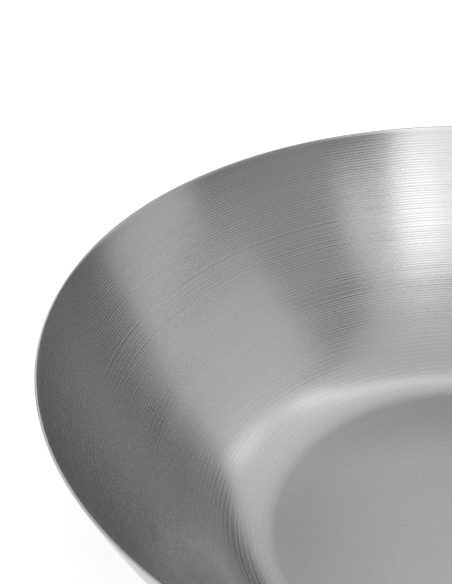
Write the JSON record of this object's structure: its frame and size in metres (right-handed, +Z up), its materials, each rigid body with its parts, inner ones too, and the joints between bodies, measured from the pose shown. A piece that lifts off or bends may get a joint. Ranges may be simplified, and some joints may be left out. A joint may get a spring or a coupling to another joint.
{
  "type": "flat-bottom wok",
  "caption": "Flat-bottom steel wok: a wide spun bowl with a riveted handle socket, a turned wooden grip and a swinging ring to hang it by.",
  "frame": {"origin": "centre of the bowl's flat underside, on the bowl's axis", "axes": "+Z up along the bowl's axis, +X the way the handle points seen from above, +Y to the left of the handle"},
  "size_m": [0.5374, 0.3202, 0.1396],
  "materials": {
    "spun_steel": "bare, with fine concentric spinning lines",
    "socket_steel": "bare, brushed along the tube",
    "rivet_steel": "satin",
    "wire_steel": "bright drawn wire",
    "beech": "turned and oiled"
  },
  "bodies": {
    "wok": {"wok_bowl": "spun_steel", "handle_socket": "socket_steel", "rivet_upper_left": "rivet_steel", "rivet_upper_right": "rivet_steel", "rivet_lower_left": "rivet_steel", "rivet_lower_right": "rivet_steel", "wooden_grip": "beech", "grip_pin": "rivet_steel", "hanging_eye": "wire_steel"},
    "ring": {"hanging_ring": "wire_steel"}
  },
  "joints": [
    {"name": "ring_swing", "type": "hinge", "parent": "wok", "child": "ring", "pos_m": [0.36978, 0, 0.12871], "axis": [0, -1, 0], "range_deg": [-35, 235]}
  ]
}
